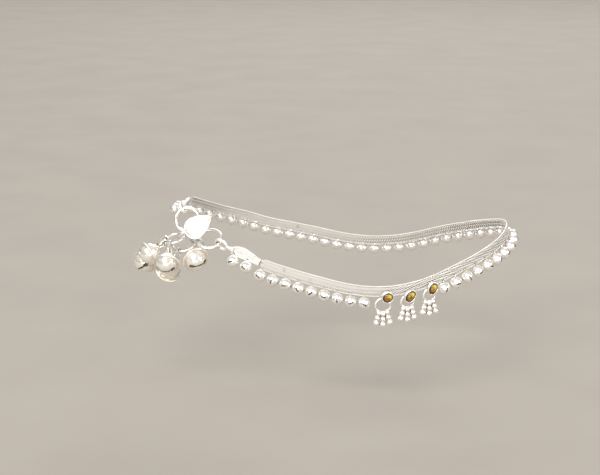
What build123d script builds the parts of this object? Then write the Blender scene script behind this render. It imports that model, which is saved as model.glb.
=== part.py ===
"""Silver payal, an Indian anklet, in the form that it has when it is worn.

Millimetres, +Z up, origin in the middle of the ankle. The heel is at +X, the instep and the clasp are at -X,
and the side that carries the three charms faces -Y.
"""
from build123d import *
import os
from math import atan2, ceil, cos, radians, sin

# Route of the strap round the ankle
HALF_LENGTH = 56.0        # heel to instep, half
HALF_WIDTH = 31.0         # across the ankle, half
ROW_STEP = 10             # degrees of bearing between two rows of ROUTE
# bearing from the heel, height of the strap's middle, lean of the skin's face from upright
ROUTE = [
    (0, 7.00, 12), (10, 6.30, 11), (20, 4.90, 9), (30, 3.20, 7), (40, 1.10, 5),
    (50, -1.30, 4), (60, -4.20, 3), (70, -6.30, 2), (80, -6.95, 2), (90, -5.90, 2),
    (100, -3.60, 3), (110, -1.20, 5), (120, 1.20, 9), (130, 4.50, 15), (140, 7.20, 21),
    (150, 10.00, 27), (160, 12.60, 32), (170, 14.90, 36), (180, 16.40, 38),
]
STRAP_START = -121.5      # bearing of the strap's near end
STRAP_END = 169.5         # bearing of its far end
TRACE_STEP = 0.25         # degrees between two points of the measured route

# Strap
STRAP_WIDTH = 3.65
STRAP_THICK = 1.0
EDGE_BAND = 1.15          # height of the thinner punched edge
EDGE_THICK = 0.6
EDGE_STEP = 0.25          # height over which the edge thickens
SECTION_STEP = 2.4        # length of one facet of the strap
END_SET_BACK = 0.6        # from a cap's face to the strap's first full section
END_TAPER = 0.9
TONGUE_WIDTH = 1.3
TONGUE_THICK = 0.5
TONGUE_LENGTH = 1.7
TONGUE_ROOT = 0.1         # tongue's first section, outside the cap

# Ball drops
BALL_RADIUS = 2.05
BALL_SHELL = 0.35
SLOT_LENGTH = 1.7
SLOT_WIDTH = 0.45
NECK_RADIUS = 0.7         # of the drop's ring, to the middle of its wire
NECK_WIRE = 0.16
HOLE_RADIUS = 0.35
HOLE_HEIGHT = 0.55        # hole's middle above the lower edge
HANG = 2.5                # ball's middle below the hole
STAND_OFF = 1.4           # ball's middle outside the strap's middle
THREAD_RADIUS = 0.3
THREAD_SINK = 0.2         # how far a thread's end lies inside a ball's wall
NEAR_DROPS = [0.95 + 4.33 * i for i in range(9)]
HEEL_DROPS = [62.5 + 4.45 * i for i in range(8)]
FAR_DROPS = [98.1 + 4.58 * i for i in range(32)]
FAR_SINGLE = 5            # far drops that are pieces of their own
ROW_LENGTH = 9            # drops in each joined row
SLOT_TURNS = [20, -35, 75, 5, -60, 40, -15, 90]

# Settings and charms: distance along the strap, bezel offset along and below the edge, stone length and
# width, stone tilt, arch width, arch height
CHARMS = [
    (41.7, 1.40, -0.30, 3.3, 3.0, 20, 5.6, 4.1),
    (49.6, 0.65, 0.30, 3.9, 2.7, 42, 4.9, 3.5),
    (56.9, 0.95, 0.00, 3.7, 2.6, 50, 4.6, 3.5),
]
BEZEL_WALL = 0.4
BEZEL_BACK = 1.45         # back of the bezel plate, from the strap's middle
BEZEL_PLATE = 0.3
BEZEL_HEIGHT = 0.75
STONE_GAP = 0.04
STONE_DOME = 0.75
DOME_STEPS = 6
STAPLE_WIRE = 0.2
LUG_WIRE = 0.15
STAPLE_DEPTH = 0.68       # inside depth between the staple and the bezel plate
POST_RADIUS = 0.3
POST_HOLE = 0.4
POST_HEIGHT = 0.75        # post above the strap's lower edge
RIVET_RADIUS = 0.7
RIVET_THICK = 0.3
RIVET_GAP = 0.15          # from the strap's back to the rivet's head
SOLDER = 0.1              # how far soldered pieces run into one another
ARCH_WIRE = 0.28
ARCH_TOP = 0.23           # arch wire below the strap's lower edge
ARCH_PLAY = 0.06          # from the arch wire to the staple
GRAIN_RADIUS = 1.08
GRAIN_PITCH = 1.75
GRAIN_ROWS = 3
GRAIN_CLOSE = 0.92        # columns closed up, so that the grains solder together
GRAIN_SINK = 0.81         # first grain's middle below the arch
GRAIN_FANS = [(-1.5, -15), (0.0, 0), (1.5, 15)]   # start of each column from the middle, lean in degrees
GRAIN_DROP = [0.0, 0.45, -0.15]                 # how far each column hangs below the first

# End caps
CAP_LENGTH = 10.6
CAP_THICK = 0.7
CAP_HOLES = [(-9.5, -0.87), (-4.4, -0.75)]
COLLAR_LENGTH = 2.2
COLLAR_SIZE = 2.3
COLLAR_THICK = 1.5
FIT_GAP = 0.12
BAIL_LENGTH = 2.25        # half, to the middle of the wire
BAIL_WIDTH = 1.65
BAIL_WIRE = 0.52
BAIL_NECK = 0.6
BAIL_TILT = 0.25

# Clasp: middles and facings
NEAR_CAP_END = Vector(-38.6, -22.2, 4.9)
NEAR_RING = Vector(-46.4, -17.2, 7.1)
NEAR_RING_FACING = Vector(-0.12, -0.56, 0.82)
FAR_RING = Vector(-54.2, -11.5, 12.3)
FAR_RING_FACING = Vector(-0.15, -0.93, 0.33)
FAR_CAP_END = Vector(-56.0, -5.0, 15.95)
RING_RADIUS = 4.0
NEAR_RING_WIRE = 0.6
FAR_RING_WIRE = 0.7
LEAF_MIDDLE = Vector(-50.3, -17.0, 11.5)
LEAF_FACING = Vector(-0.12, -0.92, 0.37)
LEAF_AXIS = Vector(0.825, 0.115, 0.552)
LEAF_THICK = 0.7
LEAF_PAD = 0.35
EYE_MIDDLE = Vector(-50.8, -16.25, 6.2)
EYE_RADIUS = 2.33
EYE_WIRE = 0.45
EYE_STEM_FOOT = (-1.6, -2.0)                 # on the leaf
BASE_EYE_SHIFT = Vector(0.10, -0.20, 0.22)   # from the upper gather ring's wire
BASE_EYE_RADIUS = 1.2
BASE_EYE_WIRE = 0.38
HOOK_RADIUS = 1.3
HOOK_WIRE = 0.4
HOOK_MOUTH = 1.1
HOOK_STEM = 0.45
UPPER_RING = Vector(-58.15, -17.6, 7.42)
UPPER_RING_SIDE = Vector(0.95, 0.10, 0.28)
UPPER_RING_FACING = Vector(-0.30, -0.15, 0.94)
UPPER_RING_RADIUS = 3.6
LOWER_RING = Vector(-55.17, -15.4, 5.2)
LOWER_RING_FACING = Vector(-0.15, -0.47, 0.87)
LOWER_RING_RADIUS = 3.9
GATHER_WIRE = 0.45

# Bells: middle, direction of the crown (None points it at its gather ring), gather ring, the turn of each
# jump ring about its own length, and the direction that the slot runs in
BELLS = [
    ((-68.7, -14.5, -1.7), (0.38, 0.83, 0.40), "upper", (0, 90), (0.70, 0.0, 0.50)),
    ((-66.0, -21.9, 3.5), None, "upper", (0,), (0.60, 0.0, -0.80)),
    ((-59.8, -27.6, 1.9), None, "upper", (0,), (1.0, 0.0, 0.08)),
    ((-60.4, -18.7, -3.3), (0.41, -0.61, 0.67), "lower", (20, 135), (1.0, 0.0, 0.0)),
    ((-50.6, -24.0, 1.9), None, "lower", (0,), (1.0, 0.0, 0.12)),
]
BELL_RADIUS = 3.5
BELL_SHELL = 0.35
RIM_RADIUS = 4.25         # to the middle of the rolled rim
RIM_WIRE = 0.3
RIM_PLATE = 0.35
BELL_SLOT = 4.6
BELL_SLOT_WIDTH = 0.7
BELL_SLOT_END = 0.75
BELL_SLOT_SHIFT = 0.6     # keeps the slot clear of the rim
CROWN_RADIUS = 0.95
CROWN_WIRE = 0.3
LINK_WIRE = 0.33
LINK_WIDTH = 1.0          # half, to the middle of the wire
LINK_GAP = 0.1
LINK_STRAIGHT = 0.05      # least half length of a link's straight side
DOWN = Vector(0, 0, -1)


def route_value(column, bearing):
    """A column of ROUTE at any bearing: the same both sides, smooth through the rows."""
    turn = abs((bearing + 180) % 360 - 180) / ROW_STEP
    row = int(turn)
    part = turn - row
    last = len(ROUTE) - 1
    near = [abs(row + k) if abs(row + k) <= last else 2 * last - row - k for k in (-1, 0, 1, 2)]
    a, b, c, d = (ROUTE[k][column] for k in near)
    slope = c - a
    curve = 2 * a - 5 * b + 4 * c - d
    twist = 3 * b - a - 3 * c + d
    return 0.5 * (2 * b + slope * part + curve * part**2 + twist * part**3)


def route_point(bearing):
    turn = radians(bearing)
    return Vector(HALF_LENGTH * cos(turn), HALF_WIDTH * sin(turn), route_value(1, bearing))


def route_plane(bearing):
    """x along the strap, y up its width, z out of the skin."""
    along = (route_point(bearing + TRACE_STEP) - route_point(bearing - TRACE_STEP)).normalized()
    turn = radians(bearing)
    lean = radians(route_value(2, bearing))
    level = Vector(cos(turn) / HALF_LENGTH, sin(turn) / HALF_WIDTH, 0).normalized()
    out = level * cos(lean) + Vector(0, 0, sin(lean))
    out = (out - along * out.dot(along)).normalized()
    return Plane(origin=route_point(bearing), x_dir=along, z_dir=out)


def trace_route():
    """Bearings along the strap, with the distance from its near end to each."""
    count = ceil((STRAP_END - STRAP_START) / TRACE_STEP)
    bearings = [STRAP_START + (STRAP_END - STRAP_START) * k / count for k in range(count + 1)]
    distances = [0.0]
    for first, second in zip(bearings, bearings[1:]):
        distances.append(distances[-1] + (route_point(second) - route_point(first)).length)
    return bearings, distances


BEARINGS, DISTANCES = trace_route()


def plane_at(distance):
    """Frame of the strap at a distance from its near end."""
    k = next((i for i, d in enumerate(DISTANCES) if d > distance), len(DISTANCES) - 1)
    part = (distance - DISTANCES[k - 1]) / (DISTANCES[k] - DISTANCES[k - 1])
    return route_plane(BEARINGS[k - 1] + part * (BEARINGS[k] - BEARINGS[k - 1]))


def place(plane, x, y, z=0.0):
    """A point given in a frame."""
    return plane.origin + plane.x_dir * x + plane.y_dir * y + plane.z_dir * z


def square_to(direction, axis):
    """The part of a direction that is square to an axis, as a unit vector."""
    axis = axis.normalized()
    return (direction - axis * direction.dot(axis)).normalized()


def turned(first, second, angle):
    """A direction turned by some degrees from the first towards the second."""
    return first * cos(radians(angle)) + second * sin(radians(angle))


def ring(middle, facing, radius, wire):
    return Plane(origin=middle, z_dir=facing) * Torus(radius, wire)


def rod(start, end, radius):
    """A round bar between two points."""
    span = end - start
    bar = Cylinder(radius, span.length, align=(Align.CENTER, Align.CENTER, Align.MIN))
    return Plane(origin=start, z_dir=span) * bar


def oval(plane, half_length, half_width, wire):
    """A closed oval of round wire: two straight sides, two half turns, along the frame's x."""
    straight = half_length - half_width
    side = Cylinder(wire, 2 * straight, rotation=(0, 90, 0))
    bend = Torus(half_width, wire, major_angle=180, align=None)
    parts = [
        Pos(0, half_width, 0) * side,
        Pos(0, -half_width, 0) * side,
        Pos(straight, 0, 0) * Rot(0, 0, -90) * bend,
        Pos(-straight, 0, 0) * Rot(0, 0, 90) * bend,
    ]
    return plane * (parts[0] + parts[1:])


# --- strap and drops ---

def strap_section(plane, width, thick, edge_thick, edge):
    """Outline of the strap across its length: full thickness above, a thinner edge below."""
    low = -STRAP_WIDTH / 2
    points = [
        (low, -edge_thick / 2), (low + edge, -edge_thick / 2), (low + edge + EDGE_STEP, -thick / 2),
        (low + width, -thick / 2), (low + width, thick / 2), (low + edge + EDGE_STEP, thick / 2),
        (low + edge, edge_thick / 2), (low, edge_thick / 2),
    ]
    return make_face(Polyline([place(plane, 0, y, z) for y, z in points], close=True))


def tongue_section(plane):
    """End of the strap inside a cap's collar."""
    low = -TONGUE_WIDTH / 2
    half = TONGUE_THICK / 2
    levels = [low, low + 0.3, low + 0.5, -low]
    points = [(y, -half) for y in levels] + [(y, half) for y in reversed(levels)]
    return make_face(Polyline([place(plane, 0, y, z) for y, z in points], close=True))


def strap():
    total = DISTANCES[-1]
    steps = round(total / SECTION_STEP)
    near = near_cap_plane()
    far = far_cap_plane()
    tongue_ends = (TONGUE_LENGTH, -TONGUE_ROOT)
    sections = [tongue_section(Plane(origin=place(near, -x, 0), x_dir=near.x_dir, z_dir=near.z_dir))
                for x in tongue_ends]
    for k in range(steps + 1):
        taper = END_TAPER if k in (0, steps) else 0.0
        plane = plane_at(END_SET_BACK + (total - 2 * END_SET_BACK) * k / steps)
        sections.append(strap_section(plane, STRAP_WIDTH - taper, STRAP_THICK, EDGE_THICK, EDGE_BAND))
    sections += [tongue_section(Plane(origin=place(far, -x, 0), x_dir=-far.x_dir, z_dir=-far.z_dir))
                 for x in reversed(tongue_ends)]
    body = loft(sections, ruled=True)
    holes = []
    for distance in NEAR_DROPS + HEEL_DROPS + FAR_DROPS:
        plane = plane_at(distance)
        hole = place(plane, 0, HOLE_HEIGHT - STRAP_WIDTH / 2)
        holes.append(rod(hole - plane.z_dir, hole + plane.z_dir, HOLE_RADIUS))
    for distance, shift, *_ in CHARMS:
        plane = plane_at(distance)
        hole = place(plane, shift, POST_HEIGHT - STRAP_WIDTH / 2)
        holes.append(rod(hole - plane.z_dir * 1.5, hole + plane.z_dir * 1.5, POST_HOLE))
    return body - holes


def drop_shape(turn):
    """A slotted hollow ball with its soldered ring; origin at the hole, y up, z out."""
    middle = (0, -HANG, STAND_OFF)
    slot = extrude(SlotOverall(SLOT_LENGTH, SLOT_WIDTH), BALL_RADIUS + 0.1)
    ball = Sphere(BALL_RADIUS) - Sphere(BALL_RADIUS - BALL_SHELL) - Rot(0, 0, turn) * slot
    neck = Pos(0, -NECK_RADIUS, 0) * Rot(0, 90, 0) * Torus(NECK_RADIUS, NECK_WIRE)
    neck -= Pos(*middle) * Sphere(BALL_RADIUS - BALL_SHELL / 2)
    return Pos(*middle) * ball + neck


DROP_SHAPES = [drop_shape(turn) for turn in SLOT_TURNS]


def drop(hole, out, index):
    """A drop in its hole, hanging plumb; returns it and the middle of its ball."""
    down = square_to(DOWN, out)
    frame = Plane(origin=hole, x_dir=out.cross(down), z_dir=out)
    return frame * DROP_SHAPES[index % len(DROP_SHAPES)], place(frame, 0, -HANG, STAND_OFF)


def strap_drop(index, distance):
    plane = plane_at(distance)
    hole = place(plane, 0, HOLE_HEIGHT - STRAP_WIDTH / 2)
    return drop(hole, plane.z_dir, index)


def drop_row(first, distances):
    """Neighbouring drops joined along their thread, from ball to ball."""
    made = [strap_drop(first + i, d) for i, d in enumerate(distances)]
    middles = [middle for _, middle in made]
    threads = []
    for a, b in zip(middles, middles[1:]):
        inside = (b - a).normalized() * (BALL_RADIUS - THREAD_SINK)
        threads.append(rod(a + inside, b - inside, THREAD_RADIUS))
    return made[0][0] + [shape for shape, _ in made[1:]] + threads


# --- end caps ---

def near_cap_plane():
    """x from the clasp to the strap, y up, z out of the skin, origin at the strap's end."""
    end = route_point(STRAP_START)
    along = (end - NEAR_CAP_END).normalized()
    return Plane(origin=end, x_dir=along, z_dir=square_to(route_plane(STRAP_START - 6).z_dir, along))


def far_cap_plane():
    """As at the near cap, but z points at the skin, because the strap lies the other way."""
    end = route_point(STRAP_END)
    along = (end - FAR_CAP_END).normalized()
    return Plane(origin=end, x_dir=along, z_dir=-square_to(route_plane(STRAP_END + 6).z_dir, along))


def end_cap(plane, ring_middle, ring_facing, ring_wire):
    """Tapered plate with a collar for the strap, two drop holes and a bail hooked in the ring."""
    top = Spline((-CAP_LENGTH, 1.3), (-6.8, 2.25), (-3.2, 1.75), (0.0, 1.15))
    lower = Polyline((0.0, 1.15), (0.0, -1.15), (-CAP_LENGTH, -1.35), (-CAP_LENGTH, 1.3))
    plate = extrude(make_face(top + lower), CAP_THICK / 2, both=True)
    collar = Pos(-COLLAR_LENGTH / 2, 0, 0) * Box(COLLAR_LENGTH, COLLAR_SIZE, COLLAR_THICK)
    collar = fillet(collar.edges().filter_by(Axis.X), 0.4)
    pocket_depth = TONGUE_LENGTH + FIT_GAP
    pocket_size = (TONGUE_WIDTH + 2 * FIT_GAP, TONGUE_THICK + 2 * FIT_GAP)
    pocket = Pos(-pocket_depth / 2, 0, 0) * Box(pocket_depth, *pocket_size)
    holes = [Pos(x, y, 0) * Cylinder(HOLE_RADIUS, 2) for x, y in CAP_HOLES]
    body = plane * (plate + collar - pocket - holes)
    cap_end = place(plane, -CAP_LENGTH, 0)
    on_ring = ring_middle + square_to(cap_end - ring_middle, ring_facing) * RING_RADIUS
    away = (cap_end - on_ring).normalized()
    bail_middle = on_ring + away * (BAIL_LENGTH - BAIL_WIRE - ring_wire - LINK_GAP)
    tangent = ring_facing.cross(on_ring - ring_middle).normalized()
    facing = square_to(tangent + tangent.cross(away) * BAIL_TILT, away)
    bail = oval(Plane(origin=bail_middle, x_dir=away, z_dir=facing), BAIL_LENGTH, BAIL_WIDTH, BAIL_WIRE)
    neck = rod(place(plane, 0.5 - CAP_LENGTH, 0), bail_middle + away * (BAIL_LENGTH - 0.1), BAIL_NECK)
    return body + neck + bail


def cap_drop(plane, index, out):
    x, y = CAP_HOLES[index]
    return drop(place(plane, x, y), out, index)


# --- settings, stones and charms ---

def bezel_plane(distance, shift, below, tilt):
    """Frame of a bezel: origin on the back of its plate, z out, x along the stone's length."""
    plane = plane_at(distance)
    spot = place(plane, shift, -STRAP_WIDTH / 2 - below, BEZEL_BACK)
    return Plane(origin=spot, x_dir=turned(plane.x_dir, plane.y_dir, tilt), z_dir=plane.z_dir)


def setting(distance, shift, below, length, width, tilt):
    """Bezel cup, rivet through the strap, and the staple that the arch hangs from."""
    edge = -STRAP_WIDTH / 2
    cup = extrude(Ellipse(length / 2 + BEZEL_WALL, width / 2 + BEZEL_WALL), BEZEL_PLATE + BEZEL_HEIGHT)
    well = extrude(Ellipse(length / 2, width / 2), BEZEL_HEIGHT + 0.1)
    body = bezel_plane(distance, shift, below, tilt) * (cup - Pos(0, 0, BEZEL_PLATE) * well)

    strap_plane = plane_at(distance)

    def at(x, y, z):
        return place(strap_plane, x, y, z)

    post_y = edge + POST_HEIGHT
    rivet_top = -STRAP_THICK / 2 - RIVET_GAP
    post = rod(at(shift, post_y, rivet_top), at(shift, post_y, BEZEL_BACK + SOLDER), POST_RADIUS)
    rivet = rod(at(shift, post_y, rivet_top - RIVET_THICK), at(shift, post_y, rivet_top), RIVET_RADIUS)
    reach = ARCH_WIRE + STAPLE_WIRE + ARCH_PLAY
    lug = BEZEL_BACK + LUG_WIRE
    back = BEZEL_BACK - STAPLE_DEPTH - STAPLE_WIRE
    middle = edge - ARCH_TOP
    ends = (middle - reach, middle + reach)
    legs = [rod(at(0, y, back), at(0, y, lug), STAPLE_WIRE) for y in ends]
    corners = [Pos(*at(0, y, back)) * Sphere(STAPLE_WIRE) for y in ends]
    bridge = rod(at(0, ends[0], back), at(0, ends[1], back), STAPLE_WIRE)
    lugs = [
        rod(at(0, ends[0] - STAPLE_WIRE, lug), at(0, ends[1] + STAPLE_WIRE, lug), LUG_WIRE),
        rod(at(0, middle, lug), at(shift, edge - below, lug), LUG_WIRE),
    ]
    return body + [post, rivet, bridge] + legs + corners + lugs


def stone(distance, shift, below, length, width, tilt):
    """Oval cabochon that sits in the cup with a hair's gap."""
    half_length = length / 2 - STONE_GAP
    half_width = width / 2 - STONE_GAP
    levels = [radians(90 * k / DOME_STEPS) for k in range(DOME_STEPS)]
    dome = loft([Pos(0, 0, BEZEL_HEIGHT + STONE_DOME * sin(a)) * Ellipse(half_length * cos(a), half_width * cos(a))
                 for a in levels])
    body = extrude(Ellipse(half_length, half_width), BEZEL_HEIGHT) + dome
    return bezel_plane(distance, shift, below, tilt) * Pos(0, 0, BEZEL_PLATE + STONE_GAP) * body


def charm(distance, arch_width, arch_height):
    """Wire arch through the staple, soldered to columns of grains that hang plumb below."""
    strap_plane = plane_at(distance)
    top = place(strap_plane, 0, -STRAP_WIDTH / 2 - ARCH_TOP, BEZEL_BACK - ARCH_PLAY - ARCH_WIRE)
    down = square_to(DOWN, strap_plane.z_dir)
    frame = Plane(origin=top, x_dir=strap_plane.z_dir.cross(down), z_dir=strap_plane.z_dir)
    half_width = arch_width / 2 - ARCH_WIRE
    half_height = arch_height / 2 + 0.3
    middle = place(frame, 0, -half_height)
    oval_plane = Plane(origin=middle, x_dir=frame.y_dir, z_dir=frame.z_dir)
    path = oval_plane * Ellipse(half_height, half_width).edge()
    arch = sweep(Plane(origin=top, z_dir=frame.x_dir) * Circle(ARCH_WIRE), path=path)
    grains = []
    for (start, lean), lower in zip(GRAIN_FANS, GRAIN_DROP):
        step = Vector(sin(radians(lean)), -cos(radians(lean)), 0) * GRAIN_PITCH
        for row in range(GRAIN_ROWS):
            spot = Vector(start * GRAIN_CLOSE, -arch_height - GRAIN_SINK - lower, 0) + step * row
            grains.append(Pos(*place(frame, spot.X, spot.Y)) * Sphere(GRAIN_RADIUS))
    return arch + grains


# --- clasp ---

def leaf_plane():
    return Plane(origin=LEAF_MIDDLE, x_dir=square_to(LEAF_AXIS, LEAF_FACING), z_dir=LEAF_FACING)


def leaf_outline(scale=1.0):
    """Pointed leaf: a round base, two long sides, a tip."""
    base = ThreePointArc((0.3, 3.4), (-4.85, 0.0), (0.3, -3.4))
    upper = ThreePointArc((0.3, 3.4), (3.4, 2.15), (5.7, 0.1))
    lower = ThreePointArc((0.3, -3.4), (3.4, -2.05), (5.7, 0.1))
    return make_face(base + upper + lower).scale(scale)


def gather_ring_plane(middle, side, facing):
    return Plane(origin=middle, x_dir=side.normalized(), z_dir=square_to(facing, side))


UPPER_PLANE = gather_ring_plane(UPPER_RING, UPPER_RING_SIDE, UPPER_RING_FACING)
LOWER_PLANE = gather_ring_plane(LOWER_RING, LOWER_RING_FACING.cross(Vector(0, 1, 0)) * -1, LOWER_RING_FACING)


def leaf_hook():
    """Leaf plate with a raised face; on its back two eyes and the open hook."""
    plane = leaf_plane()
    plate = extrude(leaf_outline(), LEAF_THICK / 2, both=True)
    pad = Pos(0, 0, LEAF_THICK / 2) * extrude(leaf_outline(0.8), LEAF_PAD, taper=35)
    outward = square_to(Vector(-0.93, 0.34, 0.10), NEAR_RING_FACING)
    eye = ring(EYE_MIDDLE, NEAR_RING_FACING.cross(outward), EYE_RADIUS, EYE_WIRE)
    eye_top = EYE_MIDDLE + NEAR_RING_FACING.normalized() * EYE_RADIUS
    eye_stem = rod(eye_top, place(plane, *EYE_STEM_FOOT), EYE_WIRE)
    base_middle = place(UPPER_PLANE, UPPER_RING_RADIUS, 0) + BASE_EYE_SHIFT
    base_eye = ring(base_middle, UPPER_PLANE.y_dir, BASE_EYE_RADIUS, BASE_EYE_WIRE)
    hook_out = square_to(Vector(0.69, -0.34, -0.64), FAR_RING_FACING)
    spot = FAR_RING + hook_out * RING_RADIUS
    hook_facing = FAR_RING_FACING.cross(hook_out)
    hook = ring(spot, hook_facing, HOOK_RADIUS, HOOK_WIRE)
    to_leaf = square_to(plane.z_dir, hook_facing)
    mouth = spot - to_leaf * HOOK_RADIUS + hook_out * HOOK_RADIUS
    opening = Box(HOOK_MOUTH, HOOK_MOUTH, 2 * HOOK_MOUTH)
    hook -= Plane(origin=mouth, x_dir=hook_out, z_dir=hook_facing) * opening
    root = spot + to_leaf * HOOK_RADIUS
    depth = (root - plane.origin).dot(plane.z_dir)
    stem = rod(root, root - plane.z_dir * depth, HOOK_STEM)
    return plane * (plate + pad) + [eye, eye_stem, base_eye, hook, stem]


GATHER_RINGS = {
    "upper": (UPPER_PLANE, UPPER_RING_RADIUS),
    "lower": (LOWER_PLANE, LOWER_RING_RADIUS),
}


# --- bells ---

def link(first, second, first_wire, second_wire, facing):
    """Jump ring round two wires that cross its plane at two points."""
    span = (second - first).normalized()
    start = first - span * (first_wire + LINK_WIRE + LINK_GAP)
    end = second + span * (second_wire + LINK_WIRE + LINK_GAP)
    half_length = max((end - start).length / 2, LINK_WIDTH + LINK_STRAIGHT)
    plane = Plane(origin=(start + end) * 0.5, x_dir=span, z_dir=square_to(facing, span))
    return oval(plane, half_length, LINK_WIDTH, LINK_WIRE)


def bell(middle, crown, crown_facing, slot_along):
    """Two hollow cups with a rolled rim between them, a slot in one and a crown loop on the other."""
    shell = Sphere(BELL_RADIUS) + Cylinder(RIM_RADIUS, RIM_PLATE) + Torus(RIM_RADIUS, RIM_WIRE)
    shell -= Sphere(BELL_RADIUS - BELL_SHELL)
    slot = Box(BELL_SLOT, BELL_SLOT_WIDTH, 2 * BELL_RADIUS)
    ends = [Pos(k * BELL_SLOT / 2, 0, 0) * Cylinder(BELL_SLOT_END, 2 * BELL_RADIUS) for k in (-1, 1)]
    shell -= Pos(0, 0, -BELL_RADIUS - BELL_SLOT_SHIFT) * (slot + ends)
    frame = Plane(origin=middle, x_dir=square_to(Vector(*slot_along), crown), z_dir=crown)
    loop_middle = middle + crown * (BELL_RADIUS + CROWN_RADIUS)
    loop = ring(loop_middle, crown_facing, CROWN_RADIUS, CROWN_WIRE)
    return frame * shell + loop


def nearest_on_ring(ring_name, point):
    """Nearest point of a gather ring's wire, and the wire's direction there."""
    plane, radius = GATHER_RINGS[ring_name]
    local = plane.to_local_coords(point)
    turn = atan2(local.Y, local.X)
    point = place(plane, radius * cos(turn), radius * sin(turn))
    return point, plane.y_dir * cos(turn) - plane.x_dir * sin(turn)


def hung_bell(middle, crown, ring_name, turns, slot_along):
    """A bell with its one or two jump rings, from the nearest point of its gather ring."""
    middle = Vector(*middle)
    crown = Vector(*crown) if crown else nearest_on_ring(ring_name, middle)[0] - middle
    crown = crown.normalized()
    loop_top = middle + crown * (BELL_RADIUS + 2 * CROWN_RADIUS)
    hold, tangent = nearest_on_ring(ring_name, loop_top)
    span = loop_top - hold
    first = square_to(tangent, span)
    second = span.normalized().cross(first)
    facings = [turned(first, second, turn) for turn in turns]
    if len(turns) == 1:
        links = [link(hold, loop_top, GATHER_WIRE, CROWN_WIRE, facings[0])]
    else:
        halfway = hold + span * 0.5
        hooked = halfway + span.normalized() * (2 * LINK_WIRE + LINK_GAP)
        links = [link(hold, halfway, GATHER_WIRE, LINK_WIRE, facings[0]),
                 link(hooked, loop_top, LINK_WIRE, CROWN_WIRE, facings[1])]
    return bell(middle, crown, square_to(crown.cross(facings[-1]), crown), slot_along), links


# --- all the pieces ---

def pieces():
    near_cap = near_cap_plane()
    far_cap = far_cap_plane()
    made = {"woven_band": strap()}
    made["end_cap_near"] = end_cap(near_cap, NEAR_RING, NEAR_RING_FACING, NEAR_RING_WIRE)
    made["end_cap_far"] = end_cap(far_cap, FAR_RING, FAR_RING_FACING, FAR_RING_WIRE)
    made["ring_near"] = ring(NEAR_RING, NEAR_RING_FACING, RING_RADIUS, NEAR_RING_WIRE)
    made["ring_far"] = ring(FAR_RING, FAR_RING_FACING, RING_RADIUS, FAR_RING_WIRE)
    made["leaf_hook"] = leaf_hook()
    for name, (plane, radius) in GATHER_RINGS.items():
        made[f"gather_ring_{name}"] = ring(plane.origin, plane.z_dir, radius, GATHER_WIRE)
    link_count = 0
    for number, row in enumerate(BELLS, 1):
        made[f"bell_{number}"], links = hung_bell(*row)
        for shape in links:
            link_count += 1
            made[f"bell_link_{link_count}"] = shape
    for number, row in enumerate(CHARMS, 1):
        made[f"setting_{number}"] = setting(*row[:6])
        made[f"stone_{number}"] = stone(*row[:6])
        made[f"charm_{number}"] = charm(row[0], *row[6:])
    for number in range(len(CAP_HOLES)):
        made[f"drop_cap_near_{number + 1}"] = cap_drop(near_cap, number, near_cap.z_dir)[0]
        made[f"drop_cap_far_{number + 1}"] = cap_drop(far_cap, number, -far_cap.z_dir)[0]
    single = NEAR_DROPS + HEEL_DROPS + FAR_DROPS[:FAR_SINGLE]
    for number, distance in enumerate(single, 1):
        made[f"drop_{number:02d}"] = strap_drop(number, distance)[0]
    rest = FAR_DROPS[FAR_SINGLE:]
    for number in range(len(rest) // ROW_LENGTH):
        row = rest[number * ROW_LENGTH:(number + 1) * ROW_LENGTH]
        made[f"drop_row_{number + 1}"] = drop_row(number, row)
    return made


os.makedirs("parts", exist_ok=True)
for node, shape in pieces().items():
    solids = shape.solids()
    print(node, len(solids), "solids", round(sum(s.volume for s in solids), 2), "mm3")
    export_step(shape, f"parts/{node}.step")
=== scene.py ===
"""Looks of the silver payal in the form that it has when it is worn. Lengths below are in millimetres."""
import math

import bpy
import numpy as np
from mathutils import Matrix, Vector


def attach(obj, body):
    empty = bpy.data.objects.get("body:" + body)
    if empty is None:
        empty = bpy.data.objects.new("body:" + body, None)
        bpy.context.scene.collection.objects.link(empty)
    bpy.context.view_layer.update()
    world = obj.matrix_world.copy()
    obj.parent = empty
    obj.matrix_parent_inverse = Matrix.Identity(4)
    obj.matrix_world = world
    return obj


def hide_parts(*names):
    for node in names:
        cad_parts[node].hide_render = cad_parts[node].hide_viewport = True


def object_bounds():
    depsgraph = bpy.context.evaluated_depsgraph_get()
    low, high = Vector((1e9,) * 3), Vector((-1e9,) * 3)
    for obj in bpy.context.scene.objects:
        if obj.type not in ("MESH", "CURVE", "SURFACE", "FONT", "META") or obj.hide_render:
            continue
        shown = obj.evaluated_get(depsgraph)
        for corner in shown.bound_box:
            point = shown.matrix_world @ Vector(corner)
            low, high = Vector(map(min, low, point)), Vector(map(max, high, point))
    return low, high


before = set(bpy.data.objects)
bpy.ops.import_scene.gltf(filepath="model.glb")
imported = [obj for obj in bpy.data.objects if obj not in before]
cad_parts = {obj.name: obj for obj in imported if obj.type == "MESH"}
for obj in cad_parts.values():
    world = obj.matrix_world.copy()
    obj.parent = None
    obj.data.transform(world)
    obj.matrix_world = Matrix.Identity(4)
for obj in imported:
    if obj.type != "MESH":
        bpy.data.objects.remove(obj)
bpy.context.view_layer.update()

MM = 0.001

# --- named sizes, as in the CAD source ---

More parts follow.
